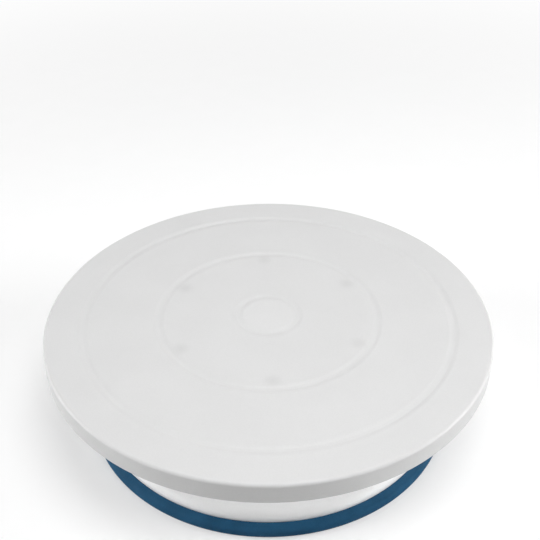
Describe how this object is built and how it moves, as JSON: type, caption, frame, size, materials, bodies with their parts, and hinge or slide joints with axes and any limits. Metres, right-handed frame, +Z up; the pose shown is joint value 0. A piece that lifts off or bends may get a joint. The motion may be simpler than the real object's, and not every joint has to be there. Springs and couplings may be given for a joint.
{
  "type": "cake decorating turntable",
  "caption": "Round flat plate with shallow guide grooves that spins on a ball bearing over a bell-shaped base with a rubber grip ring.",
  "frame": {"origin": "on the table, under the middle of the base", "axes": "+Z up along the axis of rotation; +X and +Y lie in the table plane, and -Y faces the person who uses it"},
  "size_m": [0.28, 0.28, 0.07],
  "materials": {
    "white_plastic": "white moulded polypropylene, satin with a very fine grain",
    "hub_plastic": "light grey moulded plastic, satin",
    "grip_rubber": "dark blue soft rubber, matt",
    "bearing_steel": "ground and hardened bearing steel",
    "zinc_steel": "bright zinc plate",
    "cage_nylon": "natural nylon",
    "insert_nylon": "blue nylon"
  },
  "bodies": {
    "base": {"base_shell": "white_plastic", "grip_ring": "grip_rubber", "lower_race": "bearing_steel", "bearing_outer_ring": "bearing_steel", "bearing_shields": "bearing_steel", "bearing_retainer": "zinc_steel", "retainer_screws": "zinc_steel", "bottom_cap": "hub_plastic"},
    "turntable": {"top_plate": "white_plastic", "turntable_hub": "hub_plastic", "hub_screws": "zinc_steel", "spindle_bolt": "zinc_steel", "spacer_sleeve": "zinc_steel", "spindle_washer": "zinc_steel", "spindle_nut": "zinc_steel", "nut_insert": "insert_nylon", "upper_race": "bearing_steel", "bearing_inner_ring": "bearing_steel"},
    "thrust_cage_set": {"thrust_cage": "cage_nylon", "thrust_balls": "bearing_steel"},
    "bearing_cage_set": {"bearing_cage": "cage_nylon", "bearing_balls": "bearing_steel"}
  },
  "joints": [
    {"name": "turntable_spin", "type": "hinge", "parent": "base", "child": "turntable", "pos_m": [0, 0, 0.053], "axis": [0, 0, 1], "continuous": true},
    {"name": "thrust_cage_spin", "type": "hinge", "parent": "base", "child": "thrust_cage_set", "pos_m": [0, 0, 0.053], "axis": [0, 0, 1], "continuous": true},
    {"name": "bearing_cage_spin", "type": "hinge", "parent": "base", "child": "bearing_cage_set", "pos_m": [0, 0, 0.0435], "axis": [0, 0, 1], "continuous": true}
  ],
  "couplings": [
    {"joint": "thrust_cage_spin", "follows": "turntable_spin", "ratio": 0.5},
    {"joint": "bearing_cage_spin", "follows": "turntable_spin", "ratio": 0.3677}
  ]
}
